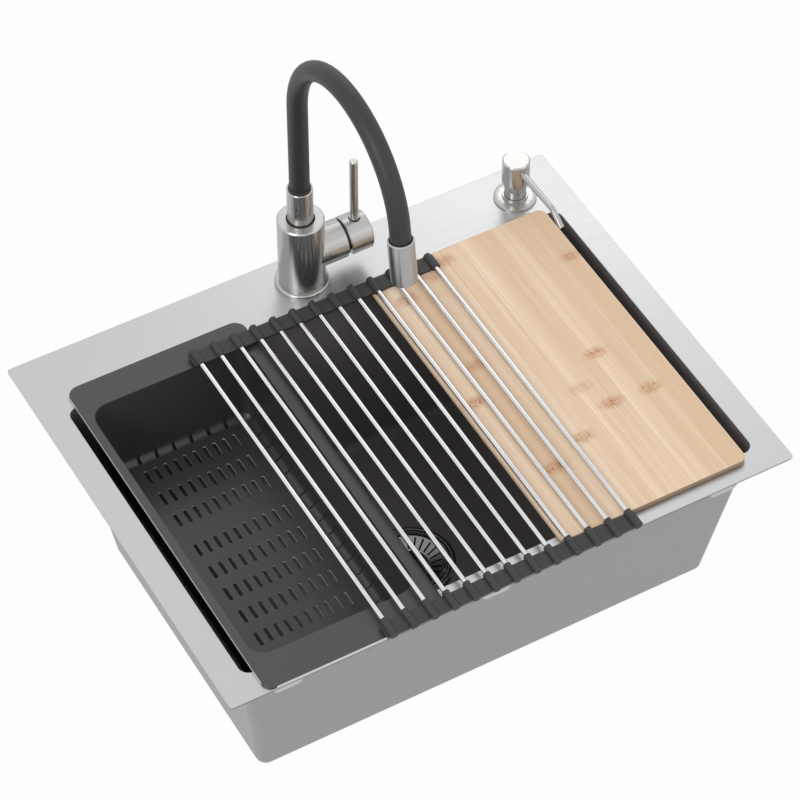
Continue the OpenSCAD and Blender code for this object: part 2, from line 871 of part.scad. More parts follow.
module aerator() {
  color("black") at_hose_end() translate([0, 0, -hose_end - nozzle_l + aerator_in]) difference() {
    cylinder(r = nozzle_r - nozzle_wall - fit, h = aerator_t);
    translate([0, 0, -over]) cylinder(r = aerator_hole_r, h = aerator_t + 2 * over);
    for (k = [0 : aerator_holes - 1]) rotate(k * 360 / aerator_holes)
      translate([aerator_ring_r, 0, -over]) cylinder(r = aerator_hole_r, h = aerator_t + 2 * over);
  }
}

module faucet_shank() {
  color("goldenrod") at_faucet(seal_t - shank_l) difference() {
    cylinder(r = shank_r, h = shank_l + deck_t + base_h + shank_in);
    for (s = [-1, 1]) translate([s * inlet_x, 0, -over]) cylinder(r = inlet_r, h = inlet_l + over);
  }
}

module faucet_washer() {
  color("lightgray") at_faucet(seal_t - plate_t) tube(plate_r, shank_r + fit, plate_t);
}

module faucet_nut() {
  color("goldenrod") at_faucet(seal_t - plate_t - nut_t) difference() {
    cylinder(r = nut_r, h = nut_t, $fn = nut_sides);
    translate([0, 0, -over]) cylinder(r = shank_r + fit, h = nut_t + 2 * over);
  }
}

module soap_flange() {
  bore = barrel_r + barrel_play;
  color("silver") at_soap(0) turned([
    [bore, deck_z + soap_flange_h + soap_collar_h],
    [bore, soap_step_z],
    [soap_step_r, soap_step_z],
    [soap_step_r, deck_z - soap_thread_l],
    [soap_thread_r, deck_z - soap_thread_l],
    [soap_thread_r, deck_z],
    [soap_flange_r, deck_z],
    [soap_flange_r, deck_z + soap_edge_h],
    [soap_collar_r + soap_edge_h, deck_z + soap_flange_h],
    [soap_collar_r, deck_z + soap_flange_h],
    [soap_collar_r, deck_z + soap_flange_h + soap_collar_h]
  ]);
}

module soap_head() {
  top = deck_z + head_z;
  color("silver") difference() {
    at_soap(0) turned([
      [0, barrel_low],
      [barrel_r, barrel_low],
      [barrel_r, barrel_top],
      [head_r, head_low],
      [head_r, top - head_round],
      [head_r - head_round, top],
      [0, top]
    ]);
    at_soap(soap_spout_z) rotate([90 - soap_rise, 0, 0]) translate([0, 0, soap_root_in])
      cylinder(r = soap_root_r + fit, h = head_r);
  }
}

// The spout runs out nearly level and tapers a little; its last length bends down and is open at the tip.
// Both straight lengths reach a little way into the bend, which is a hair thicker
module soap_spout() {
  kink = (soap_reach - soap_end * cos(soap_bend - soap_rise)) / cos(soap_rise);
  bend_l = soap_bend_r * tan(soap_bend / 2);
  color("silver") at_soap(soap_spout_z) rotate([90 - soap_rise, 0, 0]) {
    translate([0, 0, soap_root_in]) cylinder(r = soap_root_r, h = soap_root_l);
    translate([0, 0, soap_root_in + soap_root_l])
      cylinder(r1 = soap_root_r, r2 = soap_tip_r - fit, h = kink - bend_l - soap_root_in - soap_root_l + soap_lap);
    translate([0, -soap_bend_r, kink - bend_l]) {
      rotate([90, 0, 90]) rotate_extrude(angle = soap_bend) translate([soap_bend_r, 0])
        circle(r = soap_tip_r);
      rotate([soap_bend, 0, 0]) translate([0, soap_bend_r, 0]) difference() {
        translate([0, 0, -soap_lap]) cylinder(r = soap_tip_r - fit, h = soap_end - bend_l + soap_lap);
        translate([0, 0, soap_end - bend_l - soap_tip_open]) cylinder(r = soap_tip_bore, h = soap_tip_open + over);
      }
    }
  }
}

module soap_plunger() {
  color("lightgray") at_soap(barrel_low - plunger_l) cylinder(r = plunger_r, h = plunger_l);
}

module soap_pump_tube() {
  low = soap_step_z - pump_l;
  color("white") at_soap(0) turned([
    [plunger_r + fit, soap_step_z + pump_flange_t],
    [barrel_r, soap_step_z + pump_flange_t],
    [barrel_r, soap_step_z],
    [soap_step_r - fit, soap_step_z],
    [soap_step_r - fit, low],
    [dip_r, low],
    [dip_r, bottle_floor + bottle_wall + dip_floor],
    [dip_bore, bottle_floor + bottle_wall + dip_floor],
    [dip_bore, low + pump_flange_t],
    [plunger_r + fit, low + pump_flange_t]
  ]);
}

module soap_bottle() {
  neck = soap_thread_r + bottle_neck_wall;
  neck_z = bottle_top - bottle_neck_l;
  color("white") at_soap(0) turned([
    [soap_thread_r + fit, bottle_top],
    [neck, bottle_top],
    [neck, neck_z],
    [bottle_r, neck_z - bottle_shoulder],
    [bottle_r, bottle_floor],
    [0, bottle_floor],
    [0, bottle_floor + bottle_wall],
    [bottle_r - bottle_wall, bottle_floor + bottle_wall],
    [bottle_r - bottle_wall, neck_z - bottle_shoulder],
    [soap_thread_r + fit, neck_z]
  ]);
}

module soap_nut() {
  color("lightgray") at_soap(seal_t - soap_nut_t) difference() {
    cylinder(r = soap_nut_r, h = soap_nut_t, $fn = nut_sides);
    translate([0, 0, -over]) cylinder(r = soap_thread_r + fit, h = soap_nut_t + 2 * over);
  }
}

// The colander's drafted tub, grown by a wall
module tub_block(wall, top_z) {
  r = colander_ball + wall;
  x0 = colander_in_x0 - wall;
  x1 = colander_in_x1 + wall;
  y0 = colander_in_y0 - wall;
  y1 = colander_in_y1 + wall;
  low = colander_floor - wall;
  top_r = colander_r + wall;
  hull() {
    for (x = [x0 + top_r, x1 - top_r], y = [y0 + top_r, y1 - top_r])
      translate([x, y, top_z - colander_band]) cylinder(r = top_r, h = colander_band, $fn = ball_fn);
    for (x = [x0 + draft_left + r, x1 - draft_right - r], y = [y0 + draft_front + r, y1 - draft_back - r])
      translate([x, y, low + ball_rise(r)]) sphere(r = r, $fn = ball_fn);
  }
}

// One drain slot, with round ends, cut down through the floor
module drain_slot() {
  translate([0, 0, -colander_wall - over]) linear_extrude(colander_wall + 2 * over)
    plate_2d(-slot_w / 2, -slot_l / 2, slot_w / 2, slot_l / 2, slot_w / 2 - fit);
}

module floor_slots() {
  mid = (colander_in_x0 + colander_in_x1) / 2 + slot_shift;
  for (column = [0 : slot_columns - 1], row = [0 : slot_rows_front + slot_rows_back - 1])
    translate([
      mid + (column - (slot_columns - 1) / 2) * slot_pitch_x,
      colander_in_y0 + slot_from_front + row * slot_pitch_y
        + (row < slot_rows_front ? 0 : slot_jump - slot_pitch_y),
      colander_floor
    ]) drain_slot();
}

// Slots that cross the bend between the floor and the right and back walls
module bend_slots() {
  height = bend_up + colander_wall + over;
  reach = bend_in + colander_wall + over;
  low = colander_floor - colander_wall - over;
  for (k = [0 : side_slots_front + side_slots_back - 1])
    translate([
      colander_in_x1 - draft_right - bend_in,
      colander_in_y0 + side_slot_from + k * side_slot_pitch
        + (k < side_slots_front ? 0 : side_slot_jump - side_slot_pitch),
      low
    ]) cube([reach, side_slot_w, height]);
  for (k = [0 : back_slots - 1])
    translate([
      (colander_in_x0 + colander_in_x1) / 2 + slot_shift + (k - (back_slots - 1) / 2) * back_slot_pitch
        - back_slot_w / 2,
      colander_in_y1 - draft_back - bend_in,
      low
    ]) cube([back_slot_w, reach, height]);
}

module colander() {
  x1 = colander_x0 + colander_w;
  top = colander_lift + colander_hem;
  color("dimgray") difference() {
    union() {
      translate([0, 0, colander_lift]) difference() {
        linear_extrude(colander_hem)
          plate_2d(colander_x0, colander_y0, x1, colander_y1, colander_corner);
        translate([0, 0, -over]) linear_extrude(colander_hem - colander_t + over)
          plate_2d(colander_x0 + hem_w, colander_y0 + hem_w, x1 - hem_w, colander_y1 - hem_w,
            colander_corner - hem_w);
      }
      tub_block(colander_wall, top);
    }
    tub_block(0, top + over);
    floor_slots();
    bend_slots();
  }
}

module cutting_board() {
  color("burlywood") translate([0, 0, board_z]) linear_extrude(board_t)
    plate_2d(board_x1 - board_w, board_y0, board_x1, board_y1, board_r);
}

function rod_x(k) = rack_x0 + (k - 1) * rack_pitch;

// The space that a rod fills, grown by a clearance
module rod_core(k, grow) {
  translate([rod_x(k), rod_y1, rod_z]) rotate([90, 0, 0])
    cylinder(r = rod_r + grow, h = rod_y1 - rod_y0);
}

module rack_rod(k) {
  color("silver") rod_core(k, 0);
}

// Outline of a link's sleeve, its foot cut flat at the strip's underside
module sleeve_2d() {
  intersection() {
    translate([0, rod_z]) circle(r = sleeve_r);
    translate([-sleeve_r, rack_z]) square([2 * sleeve_r, rod_z - rack_z + sleeve_r]);
  }
}

// One silicone link: a web that reaches left and right of the rod, and the sleeve over it, which runs
// past the web's front edge and its back edge by two lengths
module rack_link(k, left, right, web_y, front, back) {
  translate([rod_x(k), web_y + strip_w, 0]) rotate([90, 0, 0])
    linear_extrude(strip_w) translate([-left, rack_z]) square([left + right, web_t]);
  translate([rod_x(k), web_y + strip_w + back, 0]) rotate([90, 0, 0])
    linear_extrude(strip_w + front + back) sleeve_2d();
}

// Both silicone links of one rod; those of the first and the last rod end in a short tongue
module rack_end(k) {
  half = (rack_pitch - link_gap) / 2;
  left = k == 1 ? link_end : half;
  right = k == rack_rods ? link_end : half;
  color("darkslategray") difference() {
    union() {
      rack_link(k, left, right, rack_y0, sleeve_over, sleeve_over);
      rack_link(k, left, right, rack_y1 - strip_w, sleeve_over, 0);
    }
    rod_core(k, fit);
  }
}

sink_deck();
sink_bowl();
rim_gasket();
rim_brackets();
strainer_body();
strainer_basket();
basket_post();
stopper_seal();
drain_gasket();
drain_locknut();
drain_slip_nut();
drain_tailpiece();
faucet_base_ring();
faucet_body();
valve_cartridge();
lever_cap();
lever_rod();
spout_collar();
hose_ferrule();
spout_hose();
spray_nozzle();
aerator();
faucet_shank();
faucet_washer();
faucet_nut();
soap_flange();
soap_head();
soap_spout();
soap_plunger();
soap_pump_tube();
soap_bottle();
soap_nut();
colander();
cutting_board();
for (k = [1 : rack_rods]) {
  rack_rod(k);
  rack_end(k);
}
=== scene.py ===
"""Looks for a workstation kitchen sink: worked edges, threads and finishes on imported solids.

Everything is in metres. Z is up, the front is -Y and z = 0 is the worktop under the seal.
"""

import json
from math import cos, radians, sin, tau

import bmesh
import bpy
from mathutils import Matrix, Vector

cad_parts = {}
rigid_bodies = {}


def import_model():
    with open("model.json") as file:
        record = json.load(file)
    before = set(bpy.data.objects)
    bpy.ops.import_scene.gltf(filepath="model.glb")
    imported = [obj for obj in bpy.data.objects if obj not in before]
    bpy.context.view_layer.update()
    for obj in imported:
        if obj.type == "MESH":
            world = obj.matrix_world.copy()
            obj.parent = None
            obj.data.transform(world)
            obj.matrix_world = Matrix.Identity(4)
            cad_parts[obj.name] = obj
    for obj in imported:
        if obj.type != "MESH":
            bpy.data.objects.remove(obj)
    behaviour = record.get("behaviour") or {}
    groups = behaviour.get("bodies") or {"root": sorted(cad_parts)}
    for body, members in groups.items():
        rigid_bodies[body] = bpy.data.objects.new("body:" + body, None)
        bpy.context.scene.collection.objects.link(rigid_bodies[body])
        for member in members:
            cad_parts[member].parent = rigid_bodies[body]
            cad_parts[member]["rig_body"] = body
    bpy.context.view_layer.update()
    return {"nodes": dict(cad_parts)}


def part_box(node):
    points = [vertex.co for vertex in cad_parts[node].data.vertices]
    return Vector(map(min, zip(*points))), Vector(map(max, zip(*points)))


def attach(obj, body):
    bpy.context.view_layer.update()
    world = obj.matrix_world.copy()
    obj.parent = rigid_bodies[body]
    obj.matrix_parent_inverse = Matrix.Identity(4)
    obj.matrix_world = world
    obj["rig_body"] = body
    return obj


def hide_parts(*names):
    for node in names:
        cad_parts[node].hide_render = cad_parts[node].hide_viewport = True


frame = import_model()

MM = 0.001
NODES = frame["nodes"]
RODS = 13
SKIN = 0.2 * MM  # a point this near a top face counts as on it


# ---------------------------------------------------------------- shader graphs


class Value:
    """A number in a shader; sums and products written on it add their Math nodes."""

    def __init__(self, graph, socket):
        self.graph = graph
        self.socket = socket

    def math(self, operation, *others):
        inputs = dict(enumerate((self, *others)))
        return Value(self.graph, self.graph.add("Math", inputs, operation=operation).outputs[0])

    def __add__(self, other):
        return self.math("ADD", other)

    def __mul__(self, other):
        return self.math("MULTIPLY", other)

    def __sub__(self, other):
        return self.math("SUBTRACT", other)

    def __rsub__(self, other):
        return self * -1 + other

    def __truediv__(self, other):
        return self.math("DIVIDE", other)

    __radd__ = __add__
    __rmul__ = __mul__

    def most(self, other):
        return self.math("MAXIMUM", other)

    def size(self):
        return self.math("ABSOLUTE")

    def step(self, low, high):
        """Rises smoothly from 0 at low to 1 at high; falls if low is the larger."""
        rising = low < high
        inputs = {
            "Value": self,
            "From Min": min(low, high),
            "From Max": max(low, high),
            "To Min": 0.0 if rising else 1.0,
            "To Max": 1.0 if rising else 0.0,
        }
        node = self.graph.add("MapRange", inputs, interpolation_type="SMOOTHSTEP")
        return Value(self.graph, node.outputs["Result"])


class Graph:
    """A node tree, with one way to add any node to it."""

    def __init__(self, tree):
        self.tree = tree

    def feed(self, socket, value):
        if isinstance(value, Value):
            self.tree.links.new(value.socket, socket)
        elif isinstance(value, bpy.types.NodeSocket):
            self.tree.links.new(value, socket)
        else:
            socket.default_value = value

    def add(self, kind, inputs=None, stops=None, **settings):
        """A node of this kind: its settings first, then a ramp's stops, then its sockets."""
        node = self.tree.nodes.new("ShaderNode" + kind)
        for name, value in settings.items():
            setattr(node, name, value)
        if stops:
            elements = node.color_ramp.elements
            while len(elements) < len(stops):
                elements.new(1.0)
            for element, (place, colour) in zip(elements, stops):
                element.position = place
                element.color = (*colour, 1.0)
        for name, value in (inputs or {}).items():
            self.feed(node.inputs[name], value)
        return node


class Finish(Graph):
    """One procedural material, read in the piece's own metres."""

    def __init__(self, name, colour, roughness, metallic=0.0, **constants):
        self.material = bpy.data.materials.new(name)
        self.material.use_nodes = True
        super().__init__(self.material.node_tree)
        self.colour = colour
        self.roughness = roughness
        self.shader = self.tree.nodes["Principled BSDF"]
        self.use("Base Color", (*colour, 1.0))
        self.use("Roughness", roughness)
        self.use("Metallic", metallic)
        for socket, value in constants.items():
            self.use(socket.replace("_", " ").title().replace("Ior", "IOR"), value)
        self.coordinates = self.add("TexCoord").outputs["Object"]

    def use(self, socket, value):
        self.feed(self.shader.inputs[socket], value)

    def where(self, scale=(1, 1, 1), turn=(0, 0, 0), centre=(0, 0, 0)):
        """Object coordinates, moved so that centre is the origin, then turned and scaled."""
        moved = self.add("Mapping", {"Vector": self.coordinates, "Location": [-c for c in centre]})
        inputs = {"Vector": moved.outputs["Vector"], "Rotation": turn}
        turned = self.add("Mapping", inputs)
        inputs = {"Vector": turned.outputs["Vector"], "Scale": scale}
        return self.add("Mapping", inputs).outputs["Vector"]

    def axes(self, **place):
        split = self.add("SeparateXYZ", {"Vector": self.where(**place)})
        return [Value(self, split.outputs[axis]) for axis in "XYZ"]

    def noise(self, scale, detail=2.0, roughness=0.5, **place):
        inputs = {
            "Vector": self.where(scale=scale, **place),
            "Scale": 1.0,
            "Detail": detail,
            "Roughness": roughness,
        }
        return Value(self, self.add("TexNoise", inputs).outputs["Fac"])

    def distance(self, centre, scale):
        """How far a point is from centre, with each axis stretched by scale."""
        inputs = {0: self.where(scale=scale, centre=centre)}
        return Value(self, self.add("VectorMath", inputs, operation="LENGTH").outputs["Value"])

    def blend(self, factor, first, second):
        """The colour first where factor is 0 and second where it is 1."""
        colours = [(*c, 1.0) if isinstance(c, tuple) else c for c in (first, second)]
        inputs = {0: factor, 6: colours[0], 7: colours[1]}
        return self.add("Mix", inputs, data_type="RGBA").outputs[2]

    def shade(self, factor, low, high):
        """The finish's own colour, times low where factor is 0 and times high where it is 1."""
        first, second = (tuple(min(c * k, 1.0) for c in self.colour) for k in (low, high))
        self.use("Base Color", self.blend(factor, first, second))

    def relief(self, height, depth, strength=1.0):
        inputs = {"Height": height, "Distance": depth, "Strength": strength}
        self.use("Normal", self.add("Bump", inputs).outputs["Normal"])


def brushed(name, colour, roughness, grain, depth=0.02 * MM, spread=0.16, tone=0.05):
    """Brushed metal. grain says how fast the brush lines change along each axis, per metre."""
    finish = Finish(name, colour, roughness, metallic=1.0)
    lines = finish.noise(grain, detail=4.0, roughness=0.65)
    hand = finish.noise((5, 5, 5), detail=3.0)
    finish.use("Roughness", roughness + (lines - 0.5) * spread + (hand - 0.5) * 0.12)
    finish.shade(lines * 0.6 + hand * 0.4, 1.0 - tone, 1.0 + tone)
    finish.relief(lines, depth)
    return finish.material


def satin(name, colour, roughness, metallic=1.0, speck=900, tone=0.08, depth=0.012 * MM):
    """An even, finely blasted or coated surface with a soft cloudiness."""
    finish = Finish(name, colour, roughness, metallic=metallic)
    specks = finish.noise((speck, speck, speck), detail=2.0)
    cloud = finish.noise((7, 7, 7), detail=3.0)
    finish.use("Roughness", roughness + (cloud - 0.5) * 0.14 + (specks - 0.5) * 0.06)
    finish.shade(cloud * 0.7 + specks * 0.3, 1.0 - tone, 1.0 + tone)
    finish.relief(specks, depth)
    return finish.material


def moulded(name, colour, roughness, speck=700, tone=0.1, depth=0.03 * MM):
    """Moulded rubber or plastic, with a fine skin and a little dust spread in random patches."""
    finish = Finish(name, colour, roughness)
    skin = finish.noise((speck, speck, speck), detail=3.0)
    dust = finish.noise((30, 30, 30), detail=4.0)
    finish.use("Roughness", roughness + (dust - 0.5) * 0.16)
    finish.shade(dust * 0.6 + skin * 0.4, 1.0 - tone, 1.0 + tone)
    finish.relief(skin, depth)
    return finish.material


# Nodes of the bamboo on the board's top: place in millimetres, and how dark each one is
BAMBOO_NODES = [
    (239.5, -37.7, 0.85),
    (266.7, -112.6, 0.9),
    (217.4, -110.7, 1.0),
    (161.7, -139.1, 0.9),
    (111.7, -161.4, 1.0),
    (196.8, -74.9, 0.5),
    (93.1, 139.8, 0.9),
    (110.1, 12.6, 0.75),
    (80.9, -35.3, 1.0),
    (160.5, 172.0, 0.85),
    (136.0, 157.5, 0.6),
    (293.8, 107.1, 0.7),
]
STRIP_WIDTH = 0.0235
DRAIN_RING = 4.4 * MM


def bamboo_finish():
    """Glued bamboo strips that run front to back, with fine fibres and red-brown nodes."""
    pale, deep = (0.90, 0.735, 0.565), (0.72, 0.515, 0.345)
    finish = Finish("bamboo_laminate", pale, 0.5, specular_ior_level=0.3)
    across = finish.axes()[0] / STRIP_WIDTH
    wander = finish.noise((3, 3, 3)) * 0.12
    strip = (across + wander).math("FLOOR")
    tone = finish.add("TexWhiteNoise", {"W": strip}, noise_dimensions="1D").outputs["Value"]
    tone = Value(finish, tone)
    joint = ((across + wander).math("FRACT") - 0.5).size().step(0.482, 0.5)
    fibres = finish.noise((620, 5, 90), detail=4.0, roughness=0.7)
    bands = finish.noise((95, 1.6, 20), detail=3.0)
    marks = None
    for x, y, strength in BAMBOO_NODES:
        near = finish.distance((x * MM, y * MM, 0), (1 / 0.021, 1 / 0.0125, 0)).step(1.0, 0.2)
        near = near * strength
        marks = near if marks is None else marks.most(near)
    streaks = finish.noise((720, 70, 90), detail=3.0, roughness=0.6).step(0.38, 0.64)
    blotch = finish.noise((190, 260, 90), detail=2.0).step(0.3, 0.6)
    marks = marks * (0.35 + streaks * 0.65) * (0.45 + blotch * 0.55)
    grain = (tone - 0.5) * 0.5 + bands * 0.75 + (fibres - 0.5) * 1.15
    wood = finish.blend(grain.step(0.1, 0.95), deep, pale)
    wood = finish.blend(joint * 0.35, wood, (0.45, 0.27, 0.13))
    wood = finish.blend(marks, wood, (0.44, 0.17, 0.05))
    finish.use("Base Color", wood)
    finish.use("Roughness", 0.46 + fibres * 0.16)
    finish.relief(fibres - marks * 0.3, 0.05 * MM)
    return finish.material


def end_grain():
    """The board's sawn front and back ends: the open ends of the fibres, darker than the top partly
    as end grain and partly as painted shade.
    """
    finish = Finish("bamboo_end_grain_painted_shade", (0.33, 0.24, 0.165), 0.6, specular_ior_level=0.3)
    fibres = finish.noise((900, 60, 900), detail=3.0)
    layers = finish.noise((60, 10, 420), detail=2.0)
    finish.shade(fibres * 0.5 + layers * 0.5, 0.75, 1.25)
    finish.relief(fibres, 0.06 * MM)
    return finish.material


def turned_steel():
    """The drain's steel, with the fine rings that the lathe leaves round its middle; on the flange
    their colour is lightened as painted highlights.
    """
    low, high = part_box("strainer_body")
    middle = ((low.x + high.x) / 2, (low.y + high.y) / 2, 0)
    finish = Finish("drain_turned_ring_highlights", (0.33, 0.33, 0.335), 0.2, metallic=1.0)
    out = finish.distance(middle, (1, 1, 0))
    wobble = finish.noise((40, 40, 40), detail=2.0)
    rings = (out * (tau / DRAIN_RING) + wobble * 0.6).math("SINE").step(0.2, 1.0)
    rings = rings * out.step(40 * MM, 42 * MM)
    finish.use("Roughness", 0.18 + rings * 0.1 + wobble * 0.08)
    # painted highlights: the rings' colour runs from 0.85 to 1.9 times the steel's own
    finish.shade(rings, 0.85, 1.9)
    finish.relief(rings, 0.08 * MM)
    return finish.material


FINISH = {
    "deck_steel": brushed("deck_brushed", (0.55, 0.553, 0.56), 0.36, (4, 520, 60)),
    "bowl_steel": brushed("bowl_outside_brushed", (0.365, 0.368, 0.374), 0.40, (5, 5, 620)),
    "seal_foam": moulded("seal_foam", (0.03, 0.03, 0.032), 0.85, speck=1400),
    "clip_steel": brushed("clip_steel", (0.60, 0.60, 0.61), 0.35, (8, 8, 500)),
    "drain_steel": turned_steel(),
    "black_rubber": moulded("black_rubber", (0.02, 0.02, 0.021), 0.6),
    "nut_metal": satin("cast_nut", (0.36, 0.36, 0.37), 0.45, speck=500, depth=0.05 * MM),
    "white_plastic": moulded("white_plastic", (0.78, 0.78, 0.76), 0.42, tone=0.03),
    "tap_nickel": brushed(
        "tap_nickel",
        (0.48, 0.47, 0.46),
        0.25,
        (300, 300, 9),
        depth=0.008 * MM,
        spread=0.14,
        tone=0.1,
    ),
    "black_plastic": moulded("black_plastic", (0.018, 0.018, 0.019), 0.45),
    "hose_silicone": moulded("hose_silicone", (0.024, 0.024, 0.025), 0.45, speck=500),
    "shank_brass": brushed("shank_brass", (0.60, 0.42, 0.18), 0.32, (60, 60, 300)),
    "colander_steel": satin("colander_coating", (0.072, 0.072, 0.074), 0.34, metallic=0.4),
    "bamboo": bamboo_finish(),
    "rod_steel": brushed("rod_steel", (0.72, 0.72, 0.73), 0.1, (500, 20, 500), spread=0.06),
    "link_silicone": moulded("link_silicone", (0.030, 0.032, 0.031), 0.55, speck=600),
}
# Dark inside finish; its warm tint is a painted reflection of the bamboo board
BOWL_INSIDE_DARK_REFLECTION = satin(
    "bowl_inside_dark_board_reflection", (0.18, 0.163, 0.161), 0.38, metallic=0.0, speck=1100, tone=0.12
)
# Pale finish for the slot walls and the flange's outer edge: painted highlights
PALE_EDGE_HIGHLIGHT = satin("colander_painted_highlight", (0.62, 0.62, 0.63), 0.34, metallic=0.0)
END_GRAIN_SHADE = end_grain()

SLOT_NODES = {
    "deck_steel": ["sink_deck"],
    "bowl_steel": ["sink_bowl"],
    "seal_foam": ["rim_gasket"],
    "clip_steel": ["rim_brackets"],
    "drain_steel": ["strainer_body", "strainer_basket", "basket_post"],
    "black_rubber": ["stopper_seal", "drain_gasket"],
    "nut_metal": ["drain_locknut", "faucet_washer"],
    "white_plastic": [
        "drain_slip_nut",
        "drain_tailpiece",
        "soap_pump_tube",
        "soap_bottle",
        "soap_nut",
    ],
    "tap_nickel": [
        "faucet_base_ring",
        "faucet_body",
        "lever_cap",
        "lever_rod",
        "spout_collar",
        "spray_nozzle",
        "soap_flange",
        "soap_head",
        "soap_spout",
        "soap_plunger",
    ],
    "black_plastic": ["valve_cartridge", "hose_ferrule", "aerator"],
    "hose_silicone": ["spout_hose"],
    "shank_brass": ["faucet_shank", "faucet_nut"],
    "colander_steel": ["colander"],
    "bamboo": ["cutting_board"],
    "rod_steel": [f"rack_rod_{k:02d}" for k in range(1, RODS + 1)],
    "link_silicone": [f"rack_end_{k:02d}" for k in range(1, RODS + 1)],
}
SLOT_OF = {node: slot for slot, nodes in SLOT_NODES.items() for node in nodes}


# ---------------------------------------------------------------- pieces


def made(name, mesh, body, slot, materials=(), sharp=34):
    """Turns a bmesh into a piece that rides on a body, smooth but for its sharp edges."""
    for face in mesh.faces:
        face.smooth = True
    for edge in mesh.edges:
        edge.smooth = not edge.is_manifold or edge.calc_face_angle(0.0) < radians(sharp)
    data = bpy.data.meshes.new(name)
    mesh.to_mesh(data)
    mesh.free()
    for material in materials or [FINISH[slot]]:
        data.materials.append(material)
    piece = bpy.data.objects.new(name, data)
    bpy.context.scene.collection.objects.link(piece)
    shading = piece.modifiers.new("flat_faces", "WEIGHTED_NORMAL")
    shading.keep_sharp = True
    shading.weight = 80
    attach(piece, body)
    return piece


def copied(node):
    """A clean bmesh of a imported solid: corners merged, flat faces whole again."""
    mesh = bmesh.new()
    mesh.from_mesh(NODES[node].data)
    bmesh.ops.remove_doubles(mesh, verts=mesh.verts, dist=1e-6)
    bmesh.ops.dissolve_limit(
        mesh,
        angle_limit=radians(0.4),
        verts=mesh.verts,
        edges=mesh.edges,
        delimit={"NORMAL"},
    )
    return mesh


def rounded(mesh, radius, segments=3, angle=40, pick=None):
    """Rounds edges sharper than angle; pick, given an edge's middle, may leave some out."""
    edges = [
        edge
        for edge in mesh.edges
        if edge.is_manifold
        and edge.calc_face_angle(0.0) > radians(angle)
        and (pick is None or pick((edge.verts[0].co + edge.verts[1].co) / 2))
    ]
    if edges:
        bmesh.ops.bevel(
            mesh,
            geom=edges,
            offset=radius,
            offset_type="OFFSET",
            affect="EDGES",
            segments=segments,
            profile=0.5,
            material=-1,
            clamp_overlap=True,
        )


def worked(node, name, radius, steps):
    """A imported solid's copy with every sharp edge rounded; the copy stands for the solid."""
    mesh = copied(node)
    rounded(mesh, radius, steps)
    piece = made(name, mesh, NODES[node]["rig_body"], SLOT_OF[node])
    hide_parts(node)


def thread(name, node, centre, radius, low, high, pitch, depth):
    """A screw thread: a small three-sided ridge, spun up a threaded node's outside."""
    steps = 36
    turns = (high - low) / pitch - 1
    mesh = bmesh.new()
    inside = radius - 0.1 * MM
    corners = [
        mesh.verts.new((centre[0] + r, centre[1], low + z))
        for r, z in ((inside, 0.0), (radius + depth, pitch * 0.38), (inside, pitch * 0.76))
    ]
    ridge = mesh.faces.new(corners)
    bmesh.ops.spin(
        mesh,
        geom=[*corners, *ridge.edges, ridge],
        cent=(centre[0], centre[1], low),
        axis=(0, 0, 1),
        dvec=(0, 0, pitch / steps),
        angle=tau * turns,
        steps=round(steps * turns),
    )
    bmesh.ops.recalc_face_normals(mesh, faces=mesh.faces)
    made(name, mesh, NODES[node]["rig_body"], SLOT_OF[node], sharp=60)


for node, slot in SLOT_OF.items():
    for material_slot in NODES[node].material_slots:
        material_slot.material = FINISH[slot]

# Deck: a soft roll at the mouth, and a fine broken edge elsewhere
MOUTH_REACH = 4 * MM
deck_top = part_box("sink_deck")[1].z
bowl_low, bowl_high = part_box("sink_bowl")


def by_mouth(point):
    """Says whether a point is on the deck's top, over the bowl or close beside it."""
    return (
        point.z > deck_top - SKIN
        and bowl_low.x - MOUTH_REACH < point.x < bowl_high.x + MOUTH_REACH
        and bowl_low.y - MOUTH_REACH < point.y < bowl_high.y + MOUTH_REACH
    )


deck_mesh = copied("sink_deck")
rounded(deck_mesh, 1.2 * MM, 4, pick=by_mouth)
rounded(deck_mesh, 0.5 * MM, 3)
deck = made("deck_sheet", deck_mesh, NODES["sink_deck"]["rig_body"], "deck_steel")
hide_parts("sink_deck")

# Bowl: brushed steel outside; a dark finish, warm-tinted as a painted reflection of the board, on
# each face that looks at a point in the bowl
bowl_mesh = copied("sink_bowl")
bowl_heart = (bowl_low + bowl_high) / 2
bowl_heart.z = bowl_high.z - 60 * MM
for face in bowl_mesh.faces:
    if face.normal.dot(bowl_heart - face.calc_center_median()) > 0:
        face.material_index = 1
bowl_finishes = [FINISH["bowl_steel"], BOWL_INSIDE_DARK_REFLECTION]
bowl_body = NODES["sink_bowl"]["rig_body"]
bowl = made("bowl_shell", bowl_mesh, bowl_body, "bowl_steel", bowl_finishes, sharp=30)
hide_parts("sink_bowl")

# Colander: soft flange; its outer edge and the walls in the punched slots are painted pale as
# painted highlights
EDGE_BAND = 3 * MM
SLOT_WALL_AREA = 60 * MM * MM
tub_low, tub_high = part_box("colander")
tub_mesh = copied("colander")


def on_flange_top(point):
    return point.z > tub_high.z - SKIN


rounded(tub_mesh, 0.9 * MM, 3, pick=on_flange_top)


def in_slot(face):
    """Says whether a face is a small upright wall close to the tub's floor."""
    low_down = face.calc_center_median().z < tub_low.z + EDGE_BAND
    return low_down and abs(face.normal.z) < 0.3 and face.calc_area() < SLOT_WALL_AREA


def on_outer_edge(face):
    """Says whether a face is on the outer side of the flange."""
    place = face.calc_center_median()
    inward = (*(place - tub_low).xy, *(tub_high - place).xy)
    return place.z > tub_high.z - EDGE_BAND and min(inward) < 0.3 * MM and abs(face.normal.z) < 0.8


